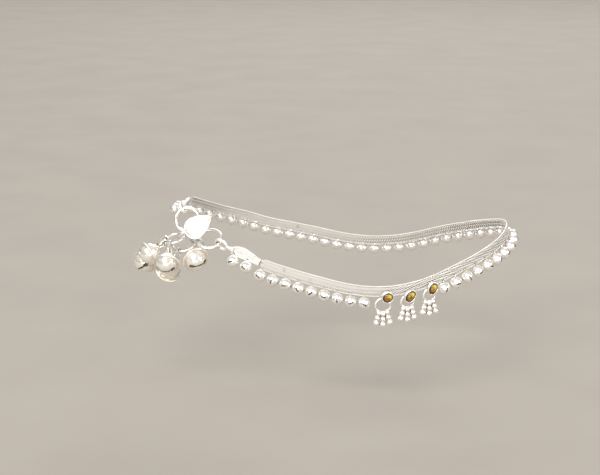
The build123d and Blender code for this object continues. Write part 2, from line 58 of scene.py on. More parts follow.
HALF_LENGTH = 56.0
HALF_WIDTH = 31.0
ROUTE = [
    (7.00, 12), (6.30, 11), (4.90, 9), (3.20, 7), (1.10, 5), (-1.30, 4), (-4.20, 3), (-6.30, 2), (-6.95, 2),
    (-5.90, 2), (-3.60, 3), (-1.20, 5), (1.20, 9), (4.50, 15), (7.20, 21), (10.00, 27), (12.60, 32),
    (14.90, 36), (16.40, 38),
]
STRAP_START = -121.5
STRAP_END = 169.5
TRACE_STEP = 0.25
STRAP_WIDTH = 3.65
HOLE_HEIGHT = 0.55
BALL_RADIUS = 2.05
BALL_SHELL = 0.35
SLOT_LENGTH = 1.7
SLOT_WIDTH = 0.45
NECK_RADIUS = 0.7
NECK_WIRE = 0.16
HANG = 2.5
STAND_OFF = 1.4
NEAR_DROPS = [0.95 + 4.33 * i for i in range(9)]
HEEL_DROPS = [62.5 + 4.45 * i for i in range(8)]
FAR_DROPS = [98.1 + 4.58 * i for i in range(32)]
FAR_SINGLE = 5
ROW_LENGTH = 9
SLOT_TURNS = [20, -35, 75, 5, -60, 40, -15, 90]
CHARMS = [
    (41.7, 1.40, -0.30, 3.3, 3.0, 20, 5.6, 4.1),
    (49.6, 0.65, 0.30, 3.9, 2.7, 42, 4.9, 3.5),
    (56.9, 0.95, 0.00, 3.7, 2.6, 50, 4.6, 3.5),
]
BEZEL_WALL = 0.4
BEZEL_BACK = 1.45
BEZEL_PLATE = 0.3
BEZEL_HEIGHT = 0.75
STONE_GAP = 0.04
STONE_DOME = 0.75
ARCH_WIRE = 0.28
ARCH_TOP = 0.23
ARCH_PLAY = 0.06
GRAIN_RADIUS = 1.08
GRAIN_PITCH = 1.75
GRAIN_FANS = [(-1.5, -15), (0.0, 0), (1.5, 15)]
GRAIN_DROP = [0.0, 0.45, -0.15]
CAP_LENGTH = 10.6
CAP_THICK = 0.7
BAIL_LENGTH = 2.25
CAP_HOLES = [(-9.5, -0.87), (-4.4, -0.75)]


def vec(*values):
    return np.array(values, float)


NEAR_CAP_END = vec(-38.6, -22.2, 4.9)
NEAR_RING = vec(-46.4, -17.2, 7.1)
NEAR_RING_FACING = vec(-0.12, -0.56, 0.82)
FAR_RING = vec(-54.2, -11.5, 12.3)
FAR_RING_FACING = vec(-0.15, -0.93, 0.33)
FAR_CAP_END = vec(-56.0, -5.0, 15.95)
RING_RADIUS = 4.0
NEAR_RING_WIRE = 0.6
FAR_RING_WIRE = 0.7
LEAF_MIDDLE = vec(-50.3, -17.0, 11.5)
LEAF_FACING = vec(-0.12, -0.92, 0.37)
LEAF_AXIS = vec(0.825, 0.115, 0.552)
LEAF_THICK = 0.7
LEAF_PAD = 0.35
EYE_MIDDLE = vec(-50.8, -16.25, 6.2)
EYE_RADIUS = 2.33
EYE_WIRE = 0.45
EYE_OUTWARD = vec(-0.93, 0.34, 0.10)
BASE_EYE_SHIFT = vec(0.10, -0.20, 0.22)
BASE_EYE_RADIUS = 1.2
BASE_EYE_WIRE = 0.38
HOOK_OUTWARD = vec(0.69, -0.34, -0.64)
HOOK_RADIUS = 1.3
HOOK_WIRE = 0.4
UPPER_RING = vec(-58.15, -17.6, 7.42)
UPPER_RING_SIDE = vec(0.95, 0.10, 0.28)
UPPER_RING_FACING = vec(-0.30, -0.15, 0.94)
UPPER_RING_RADIUS = 3.6
LOWER_RING = vec(-55.17, -15.4, 5.2)
LOWER_RING_FACING = vec(-0.15, -0.47, 0.87)
LOWER_RING_RADIUS = 3.9
GATHER_WIRE = 0.45
BELLS = [
    ((-68.7, -14.5, -1.7), (0.38, 0.83, 0.40), "upper", (0, 90), (0.70, 0.0, 0.50)),
    ((-66.0, -21.9, 3.5), None, "upper", (0,), (0.60, 0.0, -0.80)),
    ((-59.8, -27.6, 1.9), None, "upper", (0,), (1.0, 0.0, 0.08)),
    ((-60.4, -18.7, -3.3), (0.41, -0.61, 0.67), "lower", (20, 135), (1.0, 0.0, 0.0)),
    ((-50.6, -24.0, 1.9), None, "lower", (0,), (1.0, 0.0, 0.12)),
]
BELL_RADIUS = 3.5
BELL_SHELL = 0.35
RIM_RADIUS = 4.25
RIM_WIRE = 0.3
BELL_SLOT = 4.6
BELL_SLOT_WIDTH = 0.7
BELL_SLOT_END = 0.75
BELL_SLOT_SHIFT = 0.6
CROWN_RADIUS = 0.95
CROWN_WIRE = 0.3
LINK_WIRE = 0.33
LINK_WIDTH = 1.0
LINK_GAP = 0.1
LINK_STRAIGHT = 0.05
DOWN = vec(0, 0, -1)

# --- sizes that only the looks have ---

WEAVE_PITCH = 0.94
WEAVE_WIRE = 0.185
WEAVE_SLANT = 1.25         # how far a strand runs back from its lower end to its upper end
WEAVE_ROWS = [(-1.02, 0.30), (0.12, 1.36)]
WEAVE_START = 0.6          # from the strap's end to the first turn
WEAVE_END = 0.25           # the weave stops this far from the strap's ends
WEAVE_HALF_DEPTH = 0.5
WEAVE_FLATNESS = 0.7       # below 1, the turns lie flatter on the strap's faces
CORE_SECTION = [(-1.0, -0.08), (1.45, -0.08), (1.5, 0), (1.45, 0.08), (-1.0, 0.08), (-1.05, 0)]
CORE_END = 0.3
CORE_STEPS = 400
ROPE_PITCH = 0.95
ROPE_END = 0.4
ROPE_EASE = 1.5            # length over which a rope bends in at the strap's ends
ROPE_NARROW = 0.4          # share of its height that a rope keeps there
TOP_ROPE = (1.56, 0.14, 0.125, ROPE_PITCH, 9)              # height, wire, helix, pitch, steps a turn
LOWER_ROPE = (-1.62, 0.11, 0.095, ROPE_PITCH * 0.85, 8)
STRAND_SIDES = 6
EDGE_LOOP_PITCH = 1.0
EDGE_LOOP_START = 1.0
EDGE_LOOP_CLEAR = 0.34     # no loop nearer to a drop's hole than this
EDGE_LOOP_MIDDLE = -1.36
EDGE_LOOP_REACH = (0.10, 0.40, 0.24)
EDGE_LOOP_WIRE = 0.1
TONGUE_HALF_LENGTH = 0.55
TONGUE_HALF_DEPTH = 0.2
TONGUE_HEIGHTS = (-1.65, 0.45)
CAP_TOP_EDGE = [(-10.2, 1.12), (-6.8, 1.98), (-3.2, 1.50), (-2.3, 1.34)]
CAP_TOP_WIRE = 0.15
CAP_BOTTOM_WIRE = 0.11
CAP_BOTTOM_EDGE = (-1.18, 0.0189)     # height at the narrow end, and rise with length
CAP_LIFT = 0.02                       # of the edge wires from the cap's face
CAP_GRAINS = 9
CAP_GRAIN_START = -9.6
CAP_GRAIN_PITCH = 0.83
NECK_THICKNESS = (0.62, 0.42)         # at the bail, and what it gains at the cap
BAIL_COLLAR = (0.74, 0.14)
SEAM_WIRE = 0.06
FOOT_RING = (0.26, 0.13)
RIM_ROLL = 0.2
RIM_FOOT_WIRE = 0.12
RIM_FOOT_HEIGHT = 0.14
GRAIN_SIZES = [0.86, 0.94, 1.0]       # from the arch down
GRAIN_CLOSE = 0.92
GRAIN_SINK = 0.81
GRAIN_COLLAR = (0.66, 0.13)
ARCH_WORN = 0.05
RING_CUT = 0.09
LEAF_ARCS = [
    ((0.3, 3.4), (-4.85, 0.0), (0.3, -3.4), 40),
    ((0.3, -3.4), (3.4, -2.05), (5.7, 0.1), 24),
    ((5.7, 0.1), (3.4, 2.15), (0.3, 3.4), 24),
]
LEAF_CENTRE = (0.3, 0.0)
LEAF_BORDER = [
    (1.0, -0.12), (0.985, 0.02), (0.955, 0.07), (0.92, 0.04), (0.895, -0.05), (0.87, -0.03), (0.82, 0.08),
]
LEAF_RIB_HEIGHT = 0.03
LEAF_RIB_WIDTH = 0.2
LEAF_RIB_START = -3.6
EYE_STEM_FOOT = (-1.6, -2.0)
HOOK_MOUTH = (28, 304)                # where the hook's wire starts, and how far it goes round
BELL_UPPER_RIDGES = [(68, 2.2, 0.07), (60, 1.8, 0.05)]     # place and spread in degrees, height
BELL_LOWER_RIDGES = [(112, 2.2, 0.06)]
BELL_WEB = [(3.54, 0.26), (3.62, 0.19), (3.78, 0.175), (3.94, 0.18)]
BELL_COLLAR = (0.62, 0.16)
BELL_SHOULDER = (1.58, 0.1)


# --- frames and the strap's route ---

def unit(v):
    return v / np.linalg.norm(v)


def square_to(direction, axis):
    axis = unit(axis)
    return unit(direction - axis * np.dot(direction, axis))


def turned(first, second, angle):
    return first * math.cos(math.radians(angle)) + second * math.sin(math.radians(angle))


class Frame:
    """Right-handed frame: z given, x as near as can be to the direction given."""

    def __init__(self, origin, z, x):
        self.o = np.array(origin, float)
        self.z = unit(np.array(z, float))
        self.x = square_to(np.array(x, float), self.z)
        self.y = np.cross(self.z, self.x)

    def at(self, x, y, z=0.0):
        return self.o + self.x * x + self.y * y + self.z * z

    def map(self, points):
        return self.o + np.asarray(points) @ np.array([self.x, self.y, self.z])


def any_frame(origin, z):
    side = vec(1, 0, 0) if abs(unit(z)[0]) < 0.8 else vec(0, 1, 0)
    return Frame(origin, z, side)


def curve_through(a, b, c, d, t):
    """A smooth curve from b to c, with the points before and after them."""
    return 0.5 * (2 * b + (c - a) * t + (2 * a - 5 * b + 4 * c - d) * t**2 + (3 * b - a - 3 * c + d) * t**3)


def route_value(column, bearing):
    turn = abs((bearing + 180) % 360 - 180) / 10
    row = int(turn)
    part = turn - row
    last = len(ROUTE) - 1
    near = [abs(row + k) if abs(row + k) <= last else 2 * last - row - k for k in (-1, 0, 1, 2)]
    return curve_through(*(ROUTE[k][column] for k in near), part)


def route_point(bearing):
    turn = math.radians(bearing)
    return vec(HALF_LENGTH * math.cos(turn), HALF_WIDTH * math.sin(turn), route_value(0, bearing))


def route_frame(bearing):
    along = unit(route_point(bearing + TRACE_STEP) - route_point(bearing - TRACE_STEP))
    turn = math.radians(bearing)
    lean = math.radians(route_value(1, bearing))
    level = unit(vec(math.cos(turn) / HALF_LENGTH, math.sin(turn) / HALF_WIDTH, 0))
    out = square_to(level * math.cos(lean) + vec(0, 0, math.sin(lean)), along)
    return Frame(route_point(bearing), out, along)


STEPS = math.ceil((STRAP_END - STRAP_START) / TRACE_STEP)
BEARINGS = [STRAP_START + (STRAP_END - STRAP_START) * k / STEPS for k in range(STEPS + 1)]
TRACE = np.array([route_point(b) for b in BEARINGS])
DISTANCES = np.concatenate([[0.0], np.cumsum(np.linalg.norm(np.diff(TRACE, axis=0), axis=1))])
TOTAL = DISTANCES[-1]
TRACE_FRAMES = [route_frame(b) for b in BEARINGS]
TRACE_AXES = {axis: np.array([getattr(f, axis) for f in TRACE_FRAMES]) for axis in "oxyz"}


def strap_frame(distance):
    return route_frame(float(np.interp(distance, DISTANCES, BEARINGS)))


def warp(flat):
    """Points given as distance along the strap, height up its width and height out of it."""
    flat = np.asarray(flat)
    inside = np.clip(flat[:, 0], 0, TOTAL)
    rows = {axis: np.stack([np.interp(inside, DISTANCES, TRACE_AXES[axis][:, i]) for i in range(3)], 1)
            for axis in "oxyz"}
    past = (flat[:, 0] - inside)[:, None]
    return rows["o"] + rows["x"] * past + rows["y"] * flat[:, 1:2] + rows["z"] * flat[:, 2:3]


# --- meshes ---

class Shape:
    """Points and faces that become one piece."""

    def __init__(self):
        self.points = []
        self.faces = []
        self.count = 0

    def add(self, made):
        points, faces = made
        self.points.append(np.asarray(points))
        self.faces += [tuple(int(i) + self.count for i in face) for face in faces]
        self.count += len(points)
        return self

    def make(self, name, material, slot, stands_for=(), sharp=40):
        mesh = bpy.data.meshes.new(name)
        mesh.from_pydata((np.concatenate(self.points) * MM).tolist(), [], self.faces)
        mesh.materials.append(material)
        mesh.shade_smooth()
        mesh.set_sharp_from_angle(angle=math.radians(sharp))
        made = bpy.data.objects.new(name, mesh)
        bpy.context.scene.collection.objects.link(made)
        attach(made, "root")
        if stands_for:
            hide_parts(*stands_for)
        return made


def grid_faces(rows, columns, close_rows=False, close_columns=True, start=0):
    """Quads of a grid of points, row by row."""
    faces = []
    for r in range(rows if close_rows else rows - 1):
        for c in range(columns if close_columns else columns - 1):
            a = r * columns + c
            b = r * columns + (c + 1) % columns
            below = ((r + 1) % rows) * columns
            faces.append((start + a, start + b, start + below + (c + 1) % columns, start + below + c))
    return faces


def tipped_grid_faces(rows, columns):
    """Faces of rings of points that end in a tip past the last ring and then one before the first."""
    faces = grid_faces(rows, columns)
    tip = rows * columns
    for c in range(columns):
        n = (c + 1) % columns
        faces.append((tip - columns + c, tip - columns + n, tip))
        faces.append((n, c, tip + 1))
    return faces


def tube(points, radius, sides=10, closed=False):
    """Round wire along points; flat ends where it is open."""
    points = np.asarray(points, float)
    count = len(points)
    if closed:
        tangents = np.roll(points, -1, axis=0) - np.roll(points, 1, axis=0)
    else:
        tangents = np.gradient(points, axis=0)
    tangents /= np.linalg.norm(tangents, axis=1)[:, None]
    normals = np.empty_like(points)
    normals[0] = any_frame(points[0], tangents[0]).x
    for k in range(1, count):
        n = normals[k - 1] - tangents[k] * np.dot(normals[k - 1], tangents[k])
        normals[k] = n / math.sqrt(np.dot(n, n))
    binormals = np.cross(tangents, normals)
    drift = np.zeros(count)
    if closed:
        back = square_to(normals[-1], tangents[0])
        gap = math.atan2(np.dot(back, binormals[0]), np.dot(back, normals[0]))
        drift = -gap * np.arange(count) / count
    turns = 2 * np.pi * np.arange(sides) / sides
    angles = turns[None, :] + drift[:, None]
    radii = np.broadcast_to(np.asarray(radius, float), (count,))[:, None, None]
    ring = np.cos(angles)[..., None] * normals[:, None] + np.sin(angles)[..., None] * binormals[:, None]
    made = (points[:, None] + radii * ring).reshape(-1, 3)
    faces = grid_faces(count, sides, close_rows=closed)
    if not closed:
        faces.append(tuple(reversed(range(sides))))
        faces.append(tuple(range((count - 1) * sides, count * sides)))
    return made, faces


def circle(plane, radius, start=0.0, sweep=360.0, count=48):
    """Points of a circle in a frame; a full turn leaves out its last point."""
    full = sweep >= 360.0
    turns = np.radians(start + sweep * np.arange(count) / (count if full else count - 1))
    flat = np.stack([radius * np.cos(turns), radius * np.sin(turns), 0 * turns], 1)
    return plane.map(flat)


def wire_ring(plane, radius, wire, sides=14, count=56, cut=None):
    """A ring of round wire; cut is where its two ends meet, in degrees."""
    if cut is None:
        return tube(circle(plane, radius, count=count), wire, sides, closed=True)
    gap = math.degrees(RING_CUT / radius)
    return tube(circle(plane, radius, cut + gap / 2, 360.0 - gap, count), wire, sides)


def bar(start, end, radius, sides=14):
    return tube(np.array([start + (end - start) * t for t in (0, 0.5, 1)]), radius, sides)


def lathe(profile, segments):
    """A profile of (radius, height) turned about z, from the top pole to the bottom pole."""
    profile = np.asarray(profile)
    turns = 2 * np.pi * np.arange(segments) / segments
    rows = profile[1:-1]
    radii, heights = rows[:, 0, None], np.repeat(rows[:, 1, None], segments, 1)
    body = np.stack([radii * np.cos(turns), radii * np.sin(turns), heights], -1).reshape(-1, 3)
    points = np.concatenate([[[0, 0, profile[0, 1]]], body, [[0, 0, profile[-1, 1]]]])
    faces = [face[::-1] for face in grid_faces(len(rows), segments, start=1)]
    last = len(points) - 1
    for c in range(segments):
        n = (c + 1) % segments
        faces.append((0, 1 + c, 1 + n))
        faces.append((last, last - segments + n, last - segments + c))
    return points, faces


def turned_over(made):
    points, faces = made
    return points, [tuple(face[::-1]) for face in faces]


def sphere_profile(radius, count):
    lats = np.pi * np.arange(count + 1) / count
    return np.stack([radius * np.sin(lats), radius * np.cos(lats)], 1)


def ball(middle, radius, rows, columns):
    """A round grain."""
    points, faces = lathe(sphere_profile(radius, rows), columns)
    return points + middle, faces


def prism(outline, low, high):
    """A flat outline made solid from low to high."""
    count = len(outline)
    points = [(x, y, high) for x, y in outline] + [(x, y, low) for x, y in outline]
    faces = [(count + k, count + (k + 1) % count, (k + 1) % count, k) for k in range(count)]
    faces += [tuple(range(count)), tuple(reversed(range(count, 2 * count)))]
    return np.array(points, float), faces


def capsule(length, width, count=10):
    """Outline of a slot with round ends, along x."""
    reach = length / 2 - width / 2
    outline = []
    for side, start in ((1, -90), (-1, 90)):
        for k in range(count + 1):
            turn = math.radians(start + 180 * k / count)
            outline.append((side * reach + width / 2 * math.cos(turn), width / 2 * math.sin(turn)))
    return outline


def dumbbell(length, width, end, count=14):
    """Outline of a slot along x that opens into a round hole at each end."""
    lead = math.degrees(math.asin(width / 2 / end))
    outline = []
    for side, start in ((1, -180 + lead), (-1, lead)):
        for k in range(count + 1):
            turn = math.radians(start + (360 - 2 * lead) * k / count)
            outline.append((side * length / 2 + end * math.cos(turn), end * math.sin(turn)))
    return outline


def cut_out(parts, cutter):
    """Points and faces of some closed parts with one closed part cut out of them."""
    made = []
    for group in (parts, [cutter]):
        shape = Shape()
        for part in group:
            shape.add(part)
        mesh = bpy.data.meshes.new("template")
        mesh.from_pydata(np.concatenate(shape.points).tolist(), [], shape.faces)
        thing = bpy.data.objects.new("template", mesh)
        bpy.context.scene.collection.objects.link(thing)
        made.append(thing)
    boolean = made[0].modifiers.new("cut", "BOOLEAN")
    boolean.object = made[1]
    boolean.operation = "DIFFERENCE"
    boolean.solver = "EXACT"
    result = made[0].evaluated_get(bpy.context.evaluated_depsgraph_get()).to_mesh()
    points = np.array([v.co[:] for v in result.vertices])
    faces = [tuple(p.vertices) for p in result.polygons]
    for thing in made:
        bpy.data.objects.remove(thing)
    return points, faces


def moved(made, plane):
    return plane.map(made[0]), made[1]


def spun(made, angle):
    """Turned about z by some degrees."""
    c, s = math.cos(math.radians(angle)), math.sin(math.radians(angle))
    return made[0] @ np.array([[c, s, 0], [-s, c, 0], [0, 0, 1]]), made[1]


# --- materials ---

MOTTLE_SCALE = 0.35        # noise scales, for a millimetre
SPECK_SCALE = 5.0
HAMMER_SCALE = 1.6
HAMMER_DEPTH = 0.03
CLOUD_SCALE = 1.1
FLOOR_SCALE = 0.02
SPECK_SHADE = (0.86, 0.85, 0.83)
WHITE = (1.0, 1.0, 1.0)
DARK_GOLD = (0.12, 0.052, 0.004)
GOLD = (0.33, 0.18, 0.012)
# Painted light on the amber stones: an olive highlight on the side towards a fixed light direction, brown
# shade on the far side and darker brown shade at the rim.
HIGHLIGHT_OLIVE = (0.72, 0.60, 0.03)
SHADE_BROWN = (0.10, 0.026, 0.003)
RIM_SHADE_BROWN = (0.06, 0.016, 0.002)


def node_material(name):
    material = bpy.data.materials.new(name)
    material.use_nodes = True
    tree = material.node_tree
    shader = tree.nodes["Principled BSDF"]
    return material, tree, shader


def joined(tree, kind, **settings):
    made = tree.nodes.new(kind)
    for key, value in settings.items():
        setattr(made, key, value)
    return made


def noise(tree, coords, scale, detail=3.0, rough=0.55):
    made = joined(tree, "ShaderNodeTexNoise")
    made.inputs["Scale"].default_value = scale
    made.inputs["Detail"].default_value = detail
    made.inputs["Roughness"].default_value = rough
    tree.links.new(coords, made.inputs["Vector"])
    return made.outputs["Fac"]


def ramp(tree, value, stops):
    made = joined(tree, "ShaderNodeValToRGB")
    band = made.color_ramp
    while len(band.elements) < len(stops):
        band.elements.new(0.5)
    for element, (place, colour) in zip(band.elements, stops):
        element.position = place
        element.color = (*colour, 1)
    tree.links.new(value, made.inputs["Fac"])
    return made.outputs["Color"]


def span(tree, value, low, high, out_low, out_high):
    made = joined(tree, "ShaderNodeMapRange")
    for key, number in zip(("From Min", "From Max", "To Min", "To Max"), (low, high, out_low, out_high)):
        made.inputs[key].default_value = number
    tree.links.new(value, made.inputs["Value"])
    return made.outputs["Result"]


def mixed(tree, factor, a, b, blend="MIX"):
    made = joined(tree, "ShaderNodeMix", data_type="RGBA", blend_type=blend)
    if isinstance(factor, float):
        made.inputs["Factor"].default_value = factor
    else:
        tree.links.new(factor, made.inputs["Factor"])
    for key, value in (("A", a), ("B", b)):
        socket = [s for s in made.inputs if s.name == key and s.type == "RGBA"][0]
        if isinstance(value, tuple):
            socket.default_value = (*value, 1)
        else:
            tree.links.new(value, socket)
    return [s for s in made.outputs if s.type == "RGBA"][0]


def object_coords(tree):
    """Place on the object, in millimetres."""
    coords = joined(tree, "ShaderNodeTexCoord")
    scale = joined(tree, "ShaderNodeMapping")
    scale.inputs["Scale"].default_value = (1000, 1000, 1000)
    tree.links.new(coords.outputs["Object"], scale.inputs["Vector"])
    return scale.outputs["Vector"]


def silver(name, bright, warm, rough, tarnish_and_shade, crevice, metal):
    """Worked silver: mottled tone, tarnish with painted shade in hollows narrower than crevice, fine
    hammering.
    """
    material, tree, shader = node_material(name)
    at = object_coords(tree)
    mottle = noise(tree, at, MOTTLE_SCALE, 4.0)
    tone = ramp(tree, mottle, [(0.35, bright), (0.68, warm)])
    speck = noise(tree, at, SPECK_SCALE, 3.0)
    shade = ramp(tree, speck, [(0.30, SPECK_SHADE), (0.60, WHITE)])
    colour = mixed(tree, 1.0, tone, shade, "MULTIPLY")
    # Ambient occlusion darkens the colour in hollows and where parts meet: painted shade, together with the
    # silver's tarnish there.
    hollow = joined(tree, "ShaderNodeAmbientOcclusion", samples=6)
    hollow.inputs["Distance"].default_value = crevice * MM
    depth = span(tree, hollow.outputs["AO"], 0.25, 0.85, 1.0, 0.0)
    colour = mixed(tree, depth, colour, tarnish_and_shade)
    tree.links.new(colour, shader.inputs["Base Color"])
    tree.links.new(span(tree, mottle, 0.3, 0.7, *rough), shader.inputs["Roughness"])
    shader.inputs["Metallic"].default_value = metal
    bump = joined(tree, "ShaderNodeBump")
    bump.inputs["Strength"].default_value = 0.35
    bump.inputs["Distance"].default_value = HAMMER_DEPTH * MM
    height = noise(tree, at, HAMMER_SCALE, 4.0)
    tree.links.new(height, bump.inputs["Height"])
    tree.links.new(bump.outputs["Normal"], shader.inputs["Normal"])
    return material


def amber(name):
    """Foiled amber glass: gold in the middle, painted dark brown shade at the edge, a painted olive
    highlight on the side towards a fixed light direction and painted brown shade on the other side.
    """
    material, tree, shader = node_material(name)
    rim = joined(tree, "ShaderNodeAttribute", attribute_name="edge").outputs["Fac"]
    side = joined(tree, "ShaderNodeAttribute", attribute_name="side").outputs["Fac"]
    at = object_coords(tree)
    cloud = noise(tree, at, CLOUD_SCALE, 3.0)
    gold = ramp(tree, cloud, [(0.38, DARK_GOLD), (0.62, GOLD)])
    # Painted highlight: olive on the side of the stone that faces a fixed light direction.
    highlighted = mixed(tree, span(tree, side, 0.30, 0.75, 0.0, 1.0), gold, HIGHLIGHT_OLIVE)
    # Painted shade: brown on the side turned away from that light.
    shaded = mixed(tree, span(tree, side, -0.2, -0.9, 0.0, 0.8), highlighted, SHADE_BROWN)
    # Painted shade: dark brown towards the stone's rim.
    colour = mixed(tree, span(tree, rim, 0.55, 0.96, 0.0, 1.0), shaded, RIM_SHADE_BROWN)
    tree.links.new(colour, shader.inputs["Base Color"])
    tree.links.new(span(tree, cloud, 0.3, 0.7, 0.04, 0.10), shader.inputs["Roughness"])
    shader.inputs["Coat Weight"].default_value = 0.4
    shader.inputs["Coat Roughness"].default_value = 0.04
    shader.inputs["IOR"].default_value = 1.50
    return material


def floor_paint(name):
    material, tree, shader = node_material(name)
    patches = noise(tree, object_coords(tree), FLOOR_SCALE, 2.0)
    tone = ramp(tree, patches, [(0.3, (0.335, 0.305, 0.27)), (0.7, (0.355, 0.325, 0.285))])
    tree.links.new(tone, shader.inputs["Base Color"])
    shader.inputs["Roughness"].default_value = 0.85
    return material


plain_silver = silver(
    "silver", bright=(0.96, 0.955, 0.94), warm=(0.95, 0.925, 0.87), rough=(0.14, 0.26),
    tarnish_and_shade=(0.24, 0.18, 0.12), crevice=0.7, metal=0.80)
band_silver = silver(
    "band_silver", bright=(0.98, 0.975, 0.965), warm=(0.97, 0.95, 0.91), rough=(0.26, 0.38),
    tarnish_and_shade=(0.20, 0.14, 0.10), crevice=0.48, metal=0.50)
core_silver = silver(
    "core_silver", bright=(0.62, 0.57, 0.50), warm=(0.52, 0.47, 0.40), rough=(0.35, 0.5),
    tarnish_and_shade=(0.20, 0.15, 0.10), crevice=0.5, metal=0.7)
ball_silver = silver(
    "drop_silver", bright=(0.98, 0.97, 0.955), warm=(0.975, 0.94, 0.88), rough=(0.20, 0.32),
    tarnish_and_shade=(0.22, 0.14, 0.09), crevice=0.7, metal=0.78)
satin_silver = silver(
    "satin_silver", bright=(0.80, 0.79, 0.77), warm=(0.78, 0.755, 0.71), rough=(0.30, 0.40),
    tarnish_and_shade=(0.20, 0.15, 0.11), crevice=0.6, metal=0.70)
cap_silver = silver(
    "cap_silver", bright=(0.95, 0.94, 0.925), warm=(0.93, 0.905, 0.86), rough=(0.30, 0.40),
    tarnish_and_shade=(0.20, 0.15, 0.11), crevice=0.5, metal=0.60)
shell_silver = silver(
    "bell_silver", bright=(0.97, 0.955, 0.92), warm=(0.96, 0.90, 0.78), rough=(0.10, 0.20),
    tarnish_and_shade=(0.30, 0.18, 0.08), crevice=1.1, metal=0.62)
amber_glass = amber("amber_glass")


# --- strap ---

def flat_tube(points, radius, sides=STRAND_SIDES, closed=False):
    """A tube made along a straight strap and then bent with it."""
    made = tube(points, radius, sides, closed)
    return warp(made[0]), made[1]


def weave_row(low, high, offset):
    """One row of the weave: a wire that winds flat round the strap, slanted on the face."""
    turns = int((TOTAL - 2 * WEAVE_START) / WEAVE_PITCH)
    per_turn = 18
    t = np.arange(turns * per_turn + 1) / per_turn
    phase = 2 * np.pi * t
    half = (high - low) / 2 - WEAVE_WIRE
    y = (low + high) / 2 + half * np.cos(phase)
    depth = WEAVE_HALF_DEPTH - WEAVE_WIRE
    z = depth * np.sign(np.sin(phase)) * np.abs(np.sin(phase)) ** WEAVE_FLATNESS
    x = WEAVE_START + offset + WEAVE_PITCH * t - WEAVE_SLANT * 0.5 * np.cos(phase)
    keep = (x > WEAVE_END) & (x < TOTAL - WEAVE_END)
    return np.stack([x, y, z], 1)[keep]


def add_rope(shape, height, wire, helix, pitch, per_turn):
    """Two strands twisted round each other along the strap, at a height up its width."""
    length = TOTAL - 2 * ROPE_END
    count = int(length / pitch * per_turn)
    s = ROPE_END + length * np.arange(count + 1) / count
    ease = np.clip(np.minimum(s, TOTAL - s) / ROPE_EASE, ROPE_NARROW, 1)
    for phase in (0, math.pi):
        turn = 2 * np.pi * s / pitch + phase
        points = np.stack([s, (height + helix * np.cos(turn)) * ease, helix * np.sin(turn)], 1)
        shape.add(flat_tube(points, wire))


def add_edge_loops(shape):
    """Small rings round the lower rope, left out where a drop hangs."""
    drops = np.array(NEAR_DROPS + HEEL_DROPS + FAR_DROPS)
    turn = 2 * np.pi * np.arange(14) / 14
    along, up, out = EDGE_LOOP_REACH
    for k in range(int((TOTAL - 2 * EDGE_LOOP_START) / EDGE_LOOP_PITCH) + 1):
        s = EDGE_LOOP_START + EDGE_LOOP_PITCH * k
        if np.min(np.abs(drops - s)) >= EDGE_LOOP_CLEAR:
            heights = EDGE_LOOP_MIDDLE + up * np.cos(turn)
            loop = np.stack([s + along * np.cos(turn), heights, out * np.sin(turn)], 1)
            shape.add(flat_tube(loop, EDGE_LOOP_WIRE, closed=True))


def core():
    """The flat inner ribbon that the wire is wound on, seen only in the gaps of the weave."""
    s = CORE_END + (TOTAL - 2 * CORE_END) * np.arange(CORE_STEPS + 1) / CORE_STEPS
    sides = len(CORE_SECTION)
    points = np.array([(d, y, z) for d in s for y, z in CORE_SECTION])
    faces = grid_faces(CORE_STEPS + 1, sides)
    faces.append(tuple(reversed(range(sides))))
    faces.append(tuple(range(CORE_STEPS * sides, (CORE_STEPS + 1) * sides)))
    return warp(points), faces


def build_strap():
    def finish(shape, part, material, **options):
        shape.make("woven_band_" + part, material, "silver", ["woven_band"], **options)

    rows = Shape()
    for number, (low, high) in enumerate(WEAVE_ROWS):
        rows.add(flat_tube(weave_row(low, high, number * WEAVE_PITCH / 2), WEAVE_WIRE))
    finish(rows, "rows", band_silver, sharp=80)
    top = Shape()
    add_rope(top, *TOP_ROPE)
    finish(top, "top_rope", band_silver, sharp=80)
    lower = Shape()
    add_rope(lower, *LOWER_ROPE)
    add_edge_loops(lower)
    finish(lower, "lower_edge", band_silver, sharp=80)
    finish(Shape().add(core()), "core", core_silver)
    tongues = Shape()
    half, deep = TONGUE_HALF_LENGTH, TONGUE_HALF_DEPTH
    for cap in (near_cap_frame(), far_cap_frame()):
        tongue = prism([(-half, -deep), (half, -deep), (half, deep), (-half, deep)], *TONGUE_HEIGHTS)
        tongues.add(moved(tongue, Frame(cap.o, cap.x, cap.y)))
    finish(tongues, "ends", core_silver)


# --- end caps ---

def near_cap_frame():
    end = route_point(STRAP_START)
    along = unit(end - NEAR_CAP_END)
    return Frame(end, square_to(route_frame(STRAP_START - 6).z, along), along)


def far_cap_frame():
    end = route_point(STRAP_END)
    along = unit(end - FAR_CAP_END)
    return Frame(end, -square_to(route_frame(STRAP_END + 6).z, along), along)


def smooth_line(points, per_span):
    """A smooth line through points in a plane."""
    points = [np.array(p, float) for p in points]
    ends = [2 * points[0] - points[1]] + points + [2 * points[-1] - points[-2]]
    line = []
    for k in range(len(points) - 1):
        line += [curve_through(*ends[k:k + 4], i / per_span) for i in range(per_span)]
    return line + [points[-1]]


